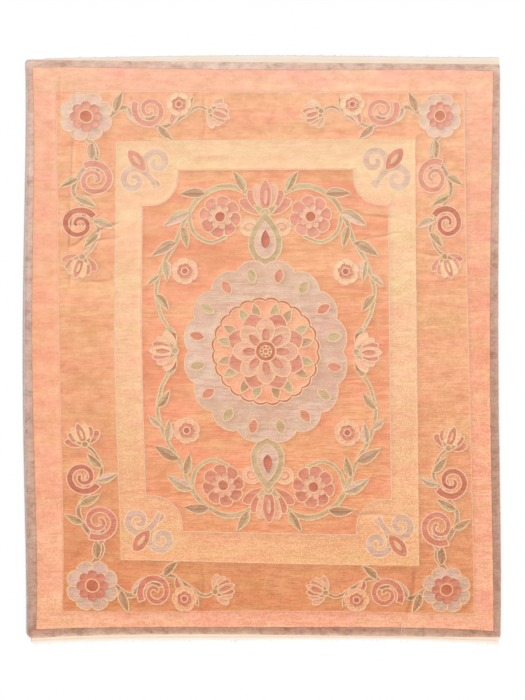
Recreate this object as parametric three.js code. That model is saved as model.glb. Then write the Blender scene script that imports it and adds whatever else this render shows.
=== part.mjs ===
import * as THREE from 'three';
import * as BufferGeometryUtils from 'three/addons/utils/BufferGeometryUtils.js';

// A hand-knotted wool rug lying flat. Sizes are in millimetres: X runs across the rug,
// Y along its length and Z up, with the floor at zero.

const pileHeight = 12;
const flatWeaveHeight = 3.5;
const sideWallHeight = 5;
const carvingDepth = 3;
const carvingHalfWidth = 5;
const shoulderHeight = 9;
const shoulderInset = 3;
const fullHeightInset = 9;
const cornerRadius = 26;
const selvedgeDiameter = 9;
const selvedgeSides = 8;
const selvedgeSteps = 26;
const gap = 0.3;

// The lines between bands, from left to right: where each one is at five places along the rug.
const acrossPlaces = [ - 1400, - 700, 0, 700, 1400 ];
const acrossLines = {
	edgeLeft: [ - 1225, - 1237, - 1244, - 1235, - 1231 ],
	rimLeft: [ - 1172, - 1185, - 1197, - 1189, - 1191 ],
	bandLeft: [ - 1037, - 1038, - 1058, - 1066, - 1076 ],
	fieldLeft: [ - 733, - 749, - 769, - 766, - 767 ],
	fieldRight: [ 822, 813, 806, 800, 802 ],
	bandRight: [ 1100, 1089, 1071, 1056, 1048 ],
	rimRight: [ 1203, 1195, 1185, 1190, 1201 ],
	edgeRight: [ 1243, 1239, 1231, 1234, 1239 ],
};

// The same from the low end to the high end, at five places across the rug.
const alongPlaces = [ - 1150, - 600, 0, 600, 1150 ];
const alongLines = {
	endLow: [ - 1525, - 1519, - 1517, - 1514, - 1525 ],
	pileLow: [ - 1511, - 1501, - 1497, - 1497, - 1505 ],
	rimLow: [ - 1459, - 1448, - 1451, - 1453, - 1465 ],
	bandLow: [ - 1357, - 1368, - 1363, - 1370, - 1378 ],
	fieldLow: [ - 1102, - 1102, - 1117, - 1128, - 1134 ],
	fieldHigh: [ 1076, 1081, 1089, 1090, 1095 ],
	bandHigh: [ 1342, 1344, 1339, 1331, 1331 ],
	rimHigh: [ 1462, 1457, 1452, 1453, 1446 ],
	pileHigh: [ 1503, 1495, 1491, 1486, 1478 ],
	endHigh: [ 1511, 1523, 1526, 1521, 1519 ],
};

// Cells between each line and the next.
const acrossCells = [ 2, 3, 4, 16, 4, 3, 2 ];
const alongCells = [ 1, 2, 3, 4, 24, 4, 3, 2, 1 ];

// Low soft creases in the pile. Each is a ridge along its heading, in degrees from X.
const creases = [
	{ x: - 296, y: 1215, heading: 90, length: 280, width: 70, height: 3 },
	{ x: - 995, y: 930, heading: 88, length: 700, width: 75, height: 3.5 },
	{ x: 745, y: - 1300, heading: 86, length: 420, width: 80, height: 4 },
	{ x: - 890, y: 640, heading: 24, length: 300, width: 70, height: 4 },
	{ x: - 880, y: 800, heading: 12, length: 280, width: 60, height: 3 },
	{ x: 560, y: 690, heading: - 12, length: 320, width: 70, height: 3.5 },
	{ x: 540, y: 520, heading: 8, length: 300, width: 65, height: 3 },
	{ x: - 120, y: 610, heading: 2, length: 900, width: 75, height: 2.5 },
	{ x: 960, y: 470, heading: - 10, length: 260, width: 70, height: 3 },
	{ x: 520, y: - 870, heading: 4, length: 420, width: 75, height: 3 },
	{ x: - 300, y: - 1230, heading: 90, length: 260, width: 70, height: 2.5 },
];

// A smooth curve for each line, from the place along it to its position.
function makeCurves( places, lines ) {

	return Object.fromEntries( Object.entries( lines ).map( ( [ line, positions ] ) => {

		const curve = new THREE.CubicInterpolant( places, positions, 1 );
		return [ line, ( at ) => curve.evaluate( at )[ 0 ] ];

	} ) );

}

const acrossCurves = makeCurves( acrossPlaces, acrossLines );
const alongCurves = makeCurves( alongPlaces, alongLines );

// The grid lines that one of these lines needs: a rounded shoulder inside the pile's edge,
// a groove where two colours meet, or a plain line at the edge of the flat weave.
function stepsAt( line, inward, footHeight ) {

	if ( line.startsWith( 'end' ) ) return [ { line, inset: 0, height: flatWeaveHeight } ];

	if ( line.startsWith( 'edge' ) || line.startsWith( 'pile' ) ) {

		const steps = [
			{ line, inset: 0, height: footHeight },
			{ line, inset: shoulderInset * inward, height: shoulderHeight },
			{ line, inset: fullHeightInset * inward, height: pileHeight },
		];
		return inward > 0 ? steps : steps.reverse();

	}

	return [
		{ line, inset: - carvingHalfWidth, height: pileHeight },
		{ line, inset: 0, height: pileHeight, carved: line },
		{ line, inset: carvingHalfWidth, height: pileHeight },
	];

}

// All grid lines one way: the steps at each line, and even cells between them.
function makeGridLines( lines, cells, footHeight ) {

	const middle = lines.length / 2;
	const steps = lines.map( ( line, index ) => stepsAt( line, index < middle ? 1 : - 1, footHeight ) );
	return steps.flatMap( ( near, index ) => {

		const own = near.map( ( step ) => ( { ...step, ends: [ step, step ], share: 0 } ) );
		if ( index === steps.length - 1 ) return own;

		const last = near[ near.length - 1 ];
		const next = steps[ index + 1 ][ 0 ];
		const height = Math.min( last.height, next.height );
		const between = Array.from( { length: cells[ index ] - 1 }, ( unused, cell ) => (
			{ height, ends: [ last, next ], share: ( cell + 1 ) / cells[ index ] } ) );
		return [ ...own, ...between ];

	} );

}

const columns = makeGridLines( Object.keys( acrossCurves ), acrossCells, sideWallHeight );
const rows = makeGridLines( Object.keys( alongCurves ), alongCells, flatWeaveHeight );

function positionOf( gridLine, curves, at ) {

	const [ start, end ] = gridLine.ends.map( ( step ) => curves[ step.line ]( at ) + step.inset );
	return THREE.MathUtils.lerp( start, end, gridLine.share );

}

// The measured edges are the outer sides of the selvedge cords, so the woven rug stops short of them.
const rugCurves = {
	...acrossCurves,
	edgeLeft: ( y ) => acrossCurves.edgeLeft( y ) + selvedgeDiameter + gap,
	edgeRight: ( y ) => acrossCurves.edgeRight( y ) - selvedgeDiameter - gap,
};

// A column's place depends on y and a row's on x, so the crossing is found in a few passes.
function crossingOf( column, row ) {

	const point = new THREE.Vector2();
	for ( let pass = 0; pass < 4; pass ++ ) {

		point.x = positionOf( column, rugCurves, point.y );
		point.y = positionOf( row, alongCurves, point.x );

	}

	return point;

}

// Moves the points in a corner's square onto a quarter disc.
function roundCorner( point, corner, outwardX, outwardY ) {

	const u = 1 - ( corner.x - point.x ) * outwardX / cornerRadius;
	const v = 1 - ( corner.y - point.y ) * outwardY / cornerRadius;
	if ( u <= 0 || v <= 0 ) return;

	point.x = corner.x - outwardX * cornerRadius * ( 1 - u * Math.sqrt( 1 - v * v / 2 ) );
	point.y = corner.y - outwardY * cornerRadius * ( 1 - v * Math.sqrt( 1 - u * u / 2 ) );

}

function creaseHeight( point ) {

	const origin = new THREE.Vector2();
	return creases.reduce( ( height, crease ) => {

		const heading = THREE.MathUtils.degToRad( crease.heading );
		const offset = new THREE.Vector2( point.x - crease.x, point.y - crease.y );
		offset.rotateAround( origin, - heading );
		const along = offset.x / ( crease.length / 2 );
		const across = offset.y / ( crease.width / 2 );
		return height + crease.height * Math.exp( - along * along - across * across );

	}, 0 );

}

// A groove runs once round each band, so a column carries it only between the band's own rows.
function isCarved( columnIndex, rowIndex ) {

	const indexOf = ( gridLines, line ) => gridLines.findIndex( ( gridLine ) => gridLine.carved === line );
	return [ 'rim', 'band', 'field' ].some( ( band ) => {

		const left = indexOf( columns, `${ band }Left` );
		const right = indexOf( columns, `${ band }Right` );
		const low = indexOf( rows, `${ band }Low` );
		const high = indexOf( rows, `${ band }High` );
		const inside = columnIndex >= left && columnIndex <= right && rowIndex >= low && rowIndex <= high;
		const onLine = columnIndex === left || columnIndex === right || rowIndex === low || rowIndex === high;
		return inside && onLine;

	} );

}

function heightAt( point, columnIndex, rowIndex ) {

	const height = Math.min( columns[ columnIndex ].height, rows[ rowIndex ].height );
	if ( height < pileHeight ) return height;

	return height + creaseHeight( point ) - ( isCarved( columnIndex, rowIndex ) ? carvingDepth : 0 );

}

function makeWovenRug() {

	const grid = rows.map( ( row ) => columns.map( ( column ) => crossingOf( column, row ) ) );
	const width = columns.length;
	const lastColumn = width - 1;
	const lastRow = rows.length - 1;
	[ [ 0, 0 ], [ lastColumn, 0 ], [ 0, lastRow ], [ lastColumn, lastRow ] ].forEach( ( [ column, row ] ) => {

		const corner = grid[ row ][ column ].clone();
		const outwardX = Math.sign( corner.x );
		const outwardY = Math.sign( corner.y );
		grid.flat().forEach( ( point ) => roundCorner( point, corner, outwardX, outwardY ) );

	} );

	const positions = [];
	const indices = [];
	grid.forEach( ( line, rowIndex ) => line.forEach( ( point, columnIndex ) => {

		positions.push( point.x, point.y, heightAt( point, columnIndex, rowIndex ) );

	} ) );

	for ( let row = 0; row < lastRow; row ++ ) {

		for ( let column = 0; column < lastColumn; column ++ ) {

			const corner = row * width + column;
			indices.push( corner, corner + 1, corner + width + 1, corner, corner + width + 1, corner + width );

		}

	}

	// Once round the outline, then a wall down to the floor and a flat underside.
	const outline = [];
	for ( let column = 0; column < lastColumn; column ++ ) outline.push( column );
	for ( let row = 0; row < lastRow; row ++ ) outline.push( row * width + lastColumn );
	for ( let column = lastColumn; column > 0; column -- ) outline.push( lastRow * width + column );
	for ( let row = lastRow; row > 0; row -- ) outline.push( row * width );

	const contour = outline.map( ( index ) => grid[ Math.floor( index / width ) ][ index % width ] );
	const floorStart = positions.length / 3;
	contour.forEach( ( point ) => positions.push( point.x, point.y, 0 ) );
	outline.forEach( ( top, index ) => {

		const following = ( index + 1 ) % outline.length;
		const low = floorStart + index;
		const nextLow = floorStart + following;
		indices.push( top, low, nextLow, top, nextLow, outline[ following ] );

	} );
	THREE.ShapeUtils.triangulateShape( contour, [] ).forEach( ( [ a, b, c ] ) => {

		indices.push( floorStart + a, floorStart + c, floorStart + b );

	} );

	const geometry = new THREE.BufferGeometry();
	geometry.setAttribute( 'position', new THREE.Float32BufferAttribute( positions, 3 ) );
	geometry.setIndex( indices );
	geometry.computeVertexNormals();
	return geometry;

}

function makeSelvedgeSection( radius ) {

	const halfSide = Math.PI / selvedgeSides;
	const cornerDistance = radius / Math.cos( halfSide );
	const corners = Array.from( { length: selvedgeSides }, ( unused, index ) => {

		const angle = ( 2 * index + 1 ) * halfSide;
		return new THREE.Vector2( cornerDistance * Math.cos( angle ), cornerDistance * Math.sin( angle ) );

	} );
	return new THREE.Shape( corners );

}

// A round cord that follows the rug's side from one rounded corner to the other.
function makeSelvedge( line, side ) {

	const radius = selvedgeDiameter / 2;
	const sideX = acrossCurves[ line ]( 0 );
	const low = alongCurves.endLow( sideX ) + cornerRadius;
	const high = alongCurves.endHigh( sideX ) - cornerRadius;
	const points = Array.from( { length: selvedgeSteps + 1 }, ( unused, step ) => {

		const y = THREE.MathUtils.lerp( low, high, step / selvedgeSteps );
		return new THREE.Vector3( acrossCurves[ line ]( y ) - side * radius, y, radius );

	} );
	const extruded = new THREE.ExtrudeGeometry( makeSelvedgeSection( radius ), {
		steps: selvedgeSteps,
		extrudePath: new THREE.CatmullRomCurve3( points ),
		bevelEnabled: false,
	} );
	extruded.deleteAttribute( 'normal' );
	extruded.deleteAttribute( 'uv' );
	const geometry = BufferGeometryUtils.mergeVertices( extruded );
	geometry.computeVertexNormals();
	return geometry;

}

function makePiece( name, geometry, color ) {

	const material = new THREE.MeshStandardMaterial( { color, roughness: 0.95, metalness: 0 } );
	const piece = new THREE.Mesh( geometry, material );
	piece.name = name;
	return piece;

}

const group = new THREE.Group();
group.add(
	makePiece( 'woven_rug', makeWovenRug(), 0xf0b891 ),
	makePiece( 'selvedge_left', makeSelvedge( 'edgeLeft', - 1 ), 0xcfa495 ),
	makePiece( 'selvedge_right', makeSelvedge( 'edgeRight', 1 ), 0xcfa495 ),
);

// The origin is on the floor, under the middle of the outline.
const centre = new THREE.Box3().setFromObject( group ).getCenter( new THREE.Vector3() );
group.position.set( - centre.x, - centre.y, 0 );

export default group;
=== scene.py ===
import math
from functools import partial
import bpy
import numpy as np
from mathutils.geometry import delaunay_2d_cdt
from mathutils.kdtree import KDTree
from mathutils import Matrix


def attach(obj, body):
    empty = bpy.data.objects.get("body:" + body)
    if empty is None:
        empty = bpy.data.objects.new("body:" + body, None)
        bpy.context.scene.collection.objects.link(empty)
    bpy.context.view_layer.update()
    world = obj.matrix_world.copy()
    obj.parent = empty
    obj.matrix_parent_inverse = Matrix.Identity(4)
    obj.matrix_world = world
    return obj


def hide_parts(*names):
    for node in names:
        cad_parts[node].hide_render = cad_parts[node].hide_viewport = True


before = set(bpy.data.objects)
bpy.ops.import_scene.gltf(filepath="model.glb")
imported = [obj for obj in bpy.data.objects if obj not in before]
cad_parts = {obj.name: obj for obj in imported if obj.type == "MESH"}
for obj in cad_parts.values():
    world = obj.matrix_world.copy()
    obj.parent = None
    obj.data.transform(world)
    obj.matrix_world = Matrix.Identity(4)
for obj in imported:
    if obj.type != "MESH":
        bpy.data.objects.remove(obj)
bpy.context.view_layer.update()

# A hand-knotted wool rug lying on the floor, in metres: X across it, Y along it, Z up.


def addObject(name, data):
    item = bpy.data.objects.new(name, data)
    bpy.context.scene.collection.objects.link(item)
    return item


cameraSettings = {
    "lens": 200,
    "sensorWidth": 36,
    "clipEnd": 200,
    "viewLength": 3.64,          # what the long side of the picture takes in
    "viewHeight": 0.012,         # where it does so: the top of the pile
    "middle": (0.0026, -0.0078),
}


def makeCamera():
    data = bpy.data.cameras.new("overheadCamera")
    data.lens = cameraSettings["lens"]
    data.sensor_width = cameraSettings["sensorWidth"]
    data.clip_end = cameraSettings["clipEnd"]
    camera = addObject("overheadCamera", data)
    distance = cameraSettings["viewLength"] * data.lens / data.sensor_width
    camera.location = (*cameraSettings["middle"], distance + cameraSettings["viewHeight"])
    bpy.context.scene.camera = camera


makeCamera()
print("camera ready")


# Small helpers for nodes and meshes

def linearColour(levels):
    shares = np.array(levels) / 255
    linear = np.where(shares <= 0.04045, shares / 12.92, ((shares + 0.055) / 1.055) ** 2.4)
    return (*(float(share) for share in linear), 1.0)


def addNode(tree, kind, inputs=None, **settings):
    node = tree.nodes.new(kind)
    for name, value in settings.items():
        setattr(node, name, value)
    for name, value in (inputs or {}).items():
        if isinstance(value, bpy.types.NodeSocket):
            tree.links.new(value, node.inputs[name])
        else:
            node.inputs[name].default_value = value
    return node


def calculate(tree, operation, *values):
    return addNode(tree, "ShaderNodeMath", dict(enumerate(values)), operation=operation).outputs[0]


def ramp(tree, value, low, high, start=0.0, end=1.0):
    return addNode(tree, "ShaderNodeMapRange", {
        "Value": value, "From Min": low, "From Max": high, "To Min": start, "To Max": end}).outputs[0]


def scaled(tree, place, scale, shift=None):
    inputs = {"Vector": place, "Scale": scale}
    if shift is not None:
        inputs["Location"] = shift
    return addNode(tree, "ShaderNodeMapping", inputs).outputs["Vector"]


# Noise that varies about zero.
def noiseOf(tree, place, scale, shift=None, detail=2.0, roughness=0.5):
    node = addNode(tree, "ShaderNodeTexNoise", {
        "Vector": scaled(tree, place, scale, shift), "Scale": 1.0, "Detail": detail, "Roughness": roughness})
    return calculate(tree, "SUBTRACT", node.outputs["Fac"], 0.5)


def mixed(tree, share, first, second, blend="MIX"):
    inputs = {0: share, 6: first, 7: second}
    return addNode(tree, "ShaderNodeMix", inputs, data_type="RGBA", blend_type=blend).outputs[2]


def tinted(tree, colour, tint):
    return mixed(tree, 1.0, colour, (*tint, 1), "MULTIPLY")


# A node group for cloth. Each input is given as "Vector", as "Color" or as the number it starts from.
def newGroup(name, inputs):
    group = bpy.data.node_groups.new(name, "ShaderNodeTree")
    for socketName, value in inputs.items():
        kind = value if isinstance(value, str) else "Float"
        socket = group.interface.new_socket(socketName, in_out="INPUT", socket_type="NodeSocket" + kind)
        if kind == "Float":
            socket.default_value = value
    for socketName, kind in (("Color", "Color"), ("Roughness", "Float"), ("Height", "Float")):
        group.interface.new_socket(socketName, in_out="OUTPUT", socket_type="NodeSocket" + kind)
    return group, group.nodes.new("NodeGroupInput").outputs


def newMaterial(name):
    material = bpy.data.materials.new(name)
    material.use_nodes = True
    tree = material.node_tree
    tree.nodes.clear()
    return material, tree


# A cloth drawn by a node group, which also reads some of the mesh's own values.
def makeCloth(name, group, values, attributes, bumpStrength, sheen):
    material, tree = newMaterial(name)
    inputs = {"Place": addNode(tree, "ShaderNodeTexCoord").outputs["Object"], **values}
    for attribute in attributes:
        read = addNode(tree, "ShaderNodeAttribute", attribute_name=attribute)
        inputs[attribute.title()] = read.outputs["Fac"]
    cloth = addNode(tree, "ShaderNodeGroup", inputs, node_tree=group).outputs
    bump = addNode(tree, "ShaderNodeBump", {
        "Height": cloth["Height"], "Strength": bumpStrength, "Distance": 1.0})
    shader = addNode(tree, "ShaderNodeBsdfPrincipled", {
        "Base Color": cloth["Color"], "Roughness": cloth["Roughness"], "Normal": bump.outputs["Normal"],
        "Specular IOR Level": 0.12, "Sheen Weight": sheen, "Sheen Roughness": 0.55})
    addNode(tree, "ShaderNodeOutputMaterial", {"Surface": shader.outputs["BSDF"]})
    return material


def makeMesh(name, points, faces, materials, faceMaterials=None, values=None):
    mesh = bpy.data.meshes.new(name)
    mesh.from_pydata(np.asarray(points).tolist(), [], faces)
    for material in materials:
        mesh.materials.append(material)
    if faceMaterials is not None:
        mesh.polygons.foreach_set("material_index", np.asarray(faceMaterials, np.int32))
    for valueName, numbers in (values or {}).items():
        attribute = mesh.attributes.new(valueName, "FLOAT", "POINT")
        attribute.data.foreach_set("value", np.asarray(numbers, np.float32))
    mesh.shade_smooth()
    mesh.update()
    return addObject(name, mesh)


# The floor and the light

studio = {
    "floorSize": 80,
    "floorHeight": -0.0002,
    "floorLevels": (250, 250, 251),
    "floorDulled": 0.985,
    "skyColour": (1.0, 0.995, 0.985, 1),
    "skyStrength": 0.62,
    "lampStrength": 2.15,
    "lampSpread": 22,            # degrees, for soft shade
    "lampTilt": (-36, 38),       # degrees, towards the lower right
}


def makeFloor():
    half, height = studio["floorSize"] / 2, studio["floorHeight"]
    material, tree = newMaterial("paleFloor")
    cloud = noiseOf(tree, addNode(tree, "ShaderNodeTexCoord").outputs["Object"], (0.8, 0.8, 0.8))
    pale = linearColour(studio["floorLevels"])
    soft = tuple(level * studio["floorDulled"] for level in pale[:3]) + (1.0,)
    colour = mixed(tree, calculate(tree, "MULTIPLY_ADD", cloud, 0.6, 0.5), pale, soft)
    shader = addNode(tree, "ShaderNodeBsdfPrincipled", {
        "Base Color": colour, "Roughness": 0.9, "Specular IOR Level": 0.1})
    addNode(tree, "ShaderNodeOutputMaterial", {"Surface": shader.outputs["BSDF"]})
    corners = [(x * half, y * half, height) for x, y in ((-1, -1), (1, -1), (1, 1), (-1, 1))]
    floor = makeMesh("studioFloor", corners, [(0, 1, 2, 3)], [material])


def makeLight():
    world = bpy.data.worlds.new("studioWorld")
    world.use_nodes = True
    # The backdrop looks as pale as the floor, and lights the rug a little less.
    sky = world.node_tree
    seen = addNode(sky, "ShaderNodeLightPath").outputs["Is Camera Ray"]
    background = sky.nodes["Background"]
    background.inputs["Color"].default_value = studio["skyColour"]
    strength = calculate(sky, "MULTIPLY_ADD", seen, 1.0 - studio["skyStrength"], studio["skyStrength"])
    sky.links.new(strength, background.inputs["Strength"])
    bpy.context.scene.world = world

    lamp = bpy.data.lights.new("softLamp", "SUN")
    lamp.energy = studio["lampStrength"]
    lamp.angle = math.radians(studio["lampSpread"])
    tiltX, tiltY = studio["lampTilt"]
    addObject("softLamp", lamp).rotation_euler = (math.radians(-tiltX), math.radians(tiltY), 0)
    bpy.context.scene.view_settings.view_transform = "Standard"


makeFloor()
makeLight()
print("floor and light ready")


# The rug's own lines, a little uneven as it was knotted

# Where the lines between bands are at five places along the rug, and at five places across it.
rugLines = {
    "alongPlaces": (-1.400, -0.700, 0.0, 0.700, 1.400),
    "across": {
        "edgeLeft": (-1.2235, -1.2345, -1.2425, -1.2335, -1.2275),
        "rimLeft": (-1.172, -1.180, -1.195, -1.189, -1.191),
        "bandLeft": (-1.037, -1.038, -1.054, -1.062, -1.076),
        "fieldLeft": (-0.733, -0.749, -0.769, -0.766, -0.767),
        "fieldRight": (0.822, 0.813, 0.806, 0.800, 0.802),
        "bandRight": (1.100, 1.089, 1.071, 1.056, 1.048),
        "rimRight": (1.203, 1.1925, 1.185, 1.190, 1.201),
        "edgeRight": (1.243, 1.239, 1.231, 1.234, 1.239),
    },
    "acrossPlaces": (-1.150, -0.600, 0.0, 0.600, 1.150),
    "along": {
        "endLow": (-1.535, -1.521, -1.518, -1.516, -1.536),
        "pileLow": (-1.505, -1.488, -1.489, -1.497, -1.502),
        "rimLow": (-1.459, -1.448, -1.448, -1.449, -1.465),
        "bandLow": (-1.357, -1.368, -1.363, -1.370, -1.378),
        "fieldLow": (-1.102, -1.102, -1.117, -1.128, -1.134),
        "fieldHigh": (1.076, 1.081, 1.089, 1.090, 1.095),
        "bandHigh": (1.341, 1.336, 1.332, 1.331, 1.331),
        "rimHigh": (1.462, 1.456, 1.4475, 1.449, 1.444),
        "pileHigh": (1.501, 1.495, 1.489, 1.484, 1.479),
        "endHigh": (1.510, 1.520, 1.525, 1.5205, 1.5155),
    },
    "centring": (0.0005, -0.0005),
    "cordWidth": 0.0093,         # the side cord and its gap
    # How round the pile's corners are, at the low end and at the high end of each side.
    "cornerRadii": {"edgeLeft": (0.034, 0.026), "edgeRight": (0.008, 0.011)},
    "knot": 0.0018,
    # Hand knotting leaves every line wavering by a knot or so: the size, pace, skew and shift of each wave.
    "waverAcross": ((0.0005, 47, 9, 0.0), (0.0004, 101.3, -21, 1.3), (0.0003, 229.7, 31, 4.0)),
    "waverAlong": ((0.0005, 43, -7, 0.6), (0.0004, 97.1, 17, 2.1), (0.0003, 211.9, -29, 5.2)),
    "waverFade": 0.03,
    "pileReach": (1.225, 1.490),     # about half of the pile's width and length
}
rugEnds = (("endLow", "pileLow", -1), ("endHigh", "pileHigh", 1))

# The same lines on a perfectly even rug, on which the pattern is drawn.
evenAcross = (-1.235, -1.190, -1.060, -0.785, 0.785, 1.060, 1.190, 1.235)
evenAlong = (-1.500, -1.455, -1.360, -1.105, 1.105, 1.360, 1.455, 1.500)


def curvesThrough(places, lines):
    return {name: np.polynomial.Polynomial(np.polyfit(places, positions, 4)[::-1])
            for name, positions in lines.items()}


acrossCurves = curvesThrough(rugLines["alongPlaces"], rugLines["across"])
alongCurves = curvesThrough(rugLines["acrossPlaces"], rugLines["along"])
bandCurvesAcross = list(acrossCurves.values())
bandCurvesAlong = [curve for name, curve in alongCurves.items() if not name.startswith("end")]


def betweenLines(even, measured, positions):
    index = np.clip(np.searchsorted(even, positions) - 1, 0, len(even) - 2)
    even = np.array(even)
    share = (positions - even[index]) / (even[index + 1] - even[index])
    every = np.arange(len(positions))
    return measured[index, every] * (1 - share) + measured[index + 1, every] * share


def waver(waves, onward, aside):
    return sum(size * np.sin(pace * onward + skew * aside + shift) for size, pace, skew, shift in waves)


# The pile's four corners: which way each points, where it is and how round it is.
def findPileCorners():
    corners = []
    for outwardX, side in ((-1, "edgeLeft"), (1, "edgeRight")):
        for outwardY, end, radius in zip((-1, 1), ("pileLow", "pileHigh"), rugLines["cornerRadii"][side]):
            y = outwardY * rugLines["pileReach"][1]
            for step in range(4):
                x = acrossCurves[side](y) - outwardX * rugLines["cordWidth"]
                y = alongCurves[end](x)
            corners.append((outwardX, outwardY, x, y, radius))
    return corners


pileCorners = findPileCorners()


# Moves points inside a corner's square onto a quarter disc.
def roundCorners(points, corners):
    for outwardX, outwardY, cornerX, cornerY, radius in corners:
        u = 1 - (cornerX - points[:, 0]) * outwardX / radius
        v = 1 - (cornerY - points[:, 1]) * outwardY / radius
        near = (u > 0) & (v > 0)
        u = u[near].clip(0, 1)
        v = v[near].clip(0, 1)
        points[near, 0] = cornerX - outwardX * radius * (1 - u * np.sqrt(1 - v * v / 2))
        points[near, 1] = cornerY - outwardY * radius * (1 - v * np.sqrt(1 - u * u / 2))
    return points


def toRug(evenPoints):
    points = np.array(evenPoints, float)
    x, y = points.T.copy()
    for step in range(4):
        lines = np.array([curve(y) for curve in bandCurvesAcross])
        lines[0] += rugLines["cordWidth"]
        lines[-1] -= rugLines["cordWidth"]
        newX = betweenLines(evenAcross, lines, points[:, 0])
        lines = np.array([curve(x) for curve in bandCurvesAlong])
        newY = betweenLines(evenAlong, lines, points[:, 1])
        x, y = newX, newY
    # The waver dies away towards the edges of the pile.
    inside = ((np.array(rugLines["pileReach"]) - abs(points)) / rugLines["waverFade"]).min(axis=1).clip(0, 1)
    across, along = waver(rugLines["waverAcross"], y, x), waver(rugLines["waverAlong"], x, y)
    rounded = roundCorners(np.stack([x + across * inside, y + along * inside], axis=1), pileCorners)
    return rounded + np.array(rugLines["centring"])


# The even place of a point that is given on the real rug.
def fromRug(points):
    even = np.array(points, float)
    for step in range(5):
        even += points - toRug(even)
    return even


# Drawing with closed outlines

def counterclockwise(points):
    points = np.asarray(points, float)
    x, y = points.T
    area = (x * np.roll(y, -1) - np.roll(x, -1) * y).sum()
    return points if area > 0 else points[::-1]


def outwardNormals(points):
    ahead = np.roll(points, -1, axis=0) - points
    behind = points - np.roll(points, 1, axis=0)
    sides = []
    for edge in (ahead, behind):
        length = np.maximum(np.linalg.norm(edge, axis=1), 1e-9)[:, None]
        sides.append(np.stack([edge[:, 1], -edge[:, 0]], axis=1) / length)
    total = sides[0] + sides[1]
    size = np.maximum(np.linalg.norm(total, axis=1), 1e-9)
    return total / size[:, None] / np.maximum(size / 2, 0.6)[:, None]


def grown(points, distance):
    points = counterclockwise(points)
    return points + outwardNormals(points) * distance


def subdivided(points, spacing):
    ahead = np.roll(points, -1, axis=0)
    pieces = []
    for start, end in zip(points, ahead):
        count = max(1, int(math.ceil(np.linalg.norm(end - start) / spacing)))
        shares = np.arange(count)[:, None] / count
        pieces.append(start + (end - start) * shares)
    return np.concatenate(pieces)


def placed(points, x=0.0, y=0.0, angle=0.0):
    turn = math.radians(angle)
    matrix = np.array([[math.cos(turn), math.sin(turn)], [-math.sin(turn), math.cos(turn)]])
    return np.asarray(points, float) @ matrix + (x, y)


# A petal or leaf from the origin along X. base and tip are rounder the smaller they are.
def blade(length, width, base, tip, bend=0.0):
    steps = 7 if length < 0.055 else 9 if length < 0.14 else 11
    share = (1 - np.cos(np.linspace(0, math.pi, steps))) / 2
    peak = base / (base + tip)
    half = share ** base * (1 - share) ** tip / (peak ** base * (1 - peak) ** tip) * width / 2
    middle = bend * share ** 2 * length
    upper = np.stack([share * length, middle + half], axis=1)
    lower = np.stack([share * length, middle - half], axis=1)
    return np.concatenate([lower[:-1], upper[::-1][:-1]])


def disc(radius, steps):
    angles = np.arange(steps) * 2 * math.pi / steps
    return np.stack([radius * np.cos(angles), radius * np.sin(angles)], axis=1)


def lobedDisc(radiusX, radiusY, lobes, depth, stepsPerLobe=8):
    angles = np.arange(lobes * stepsPerLobe) * 2 * math.pi / (lobes * stepsPerLobe)
    radius = 1 - depth * (1 - abs(np.sin(angles * lobes / 2)) ** 0.7)
    return np.stack([radiusX * radius * np.cos(angles), radiusY * radius * np.sin(angles)], axis=1)


def rectangle(halfWidth, halfLength):
    return np.array([(-halfWidth, -halfLength), (halfWidth, -halfLength),
                     (halfWidth, halfLength), (-halfWidth, halfLength)])


# A rectangle whose corners are taken in by a step and a hollow quarter circle.
def notchedRectangle(halfWidth, halfLength, notch, step):
    angles = np.linspace(0, math.pi / 2, 13)
    innerX, innerY = halfWidth - step, halfLength - step
    hollow = np.stack([innerX - notch * np.sin(angles), innerY - notch * np.cos(angles)], axis=1)
    corner = np.concatenate([[(halfWidth, innerY - notch)], hollow, [(innerX - notch, halfLength)]])
    sides = [corner * (1, 1), corner[::-1] * (-1, 1), corner * (-1, -1), corner[::-1] * (1, -1)]
    return np.concatenate(sides)


pathSpacing = 0.009


# A smooth line through a few points.
def smoothPath(points):
    points = np.asarray(points, float)
    ends = np.concatenate([[2 * points[0] - points[1]], points, [2 * points[-1] - points[-2]]])
    pieces = []
    for index in range(1, len(ends) - 2):
        before, start, end, after = ends[index - 1:index + 3]
        count = max(2, int(math.ceil(np.linalg.norm(end - start) / pathSpacing)))
        t = (np.arange(count) / count)[:, None]
        pieces.append(0.5 * (2 * start + (end - before) * t
                             + (2 * before - 5 * start + 4 * end - after) * t ** 2
                             + (3 * start - before - 3 * end + after) * t ** 3))
    return np.concatenate([*pieces, points[-1:]])


def spiralPath(radius, turns, start, hand):
    total = turns * 2 * math.pi
    count = int(max(12, radius * total * 0.6 / pathSpacing))
    share = np.linspace(0, 1, count)
    angles = math.radians(start) + hand * share * total
    reach = radius * (1 - share) ** 0.85 + 0.12 * radius * share
    return np.stack([reach * np.cos(angles), reach * np.sin(angles)], axis=1)


def ribbon(path, startWidth, endWidth, middleWidth=None):
    direction = np.gradient(path, axis=0)
    direction /= np.maximum(np.linalg.norm(direction, axis=1), 1e-9)[:, None]
    normal = np.stack([-direction[:, 1], direction[:, 0]], axis=1)
    share = np.linspace(0, 1, len(path))
    width = startWidth + (endWidth - startWidth) * share
    if middleWidth is not None:
        width = width + (middleWidth - (startWidth + endWidth) / 2) * np.sin(math.pi * share)
    half = width[:, None] / 2
    return np.concatenate([path - normal * half, (path + normal * half)[::-1]])


# The pattern: a medallion, sprays, cloud scrolls and leafy corners

pattern = {
    "panel": (0.640, 0.945),
    "notch": 0.150,
    "notchStep": 0.035,
    "medallion": (0.425, 0.475),
    "medallionLobes": 16,
    "innerDisc": 0.268,
    "paleLine": 0.0062,
    "edgeLine": 0.0055,
    "contour": 0.0065,
    "corner": (0.9225, 1.2325),
}

shapes = []   # (yarn, closed outline), each one over those before it


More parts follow.
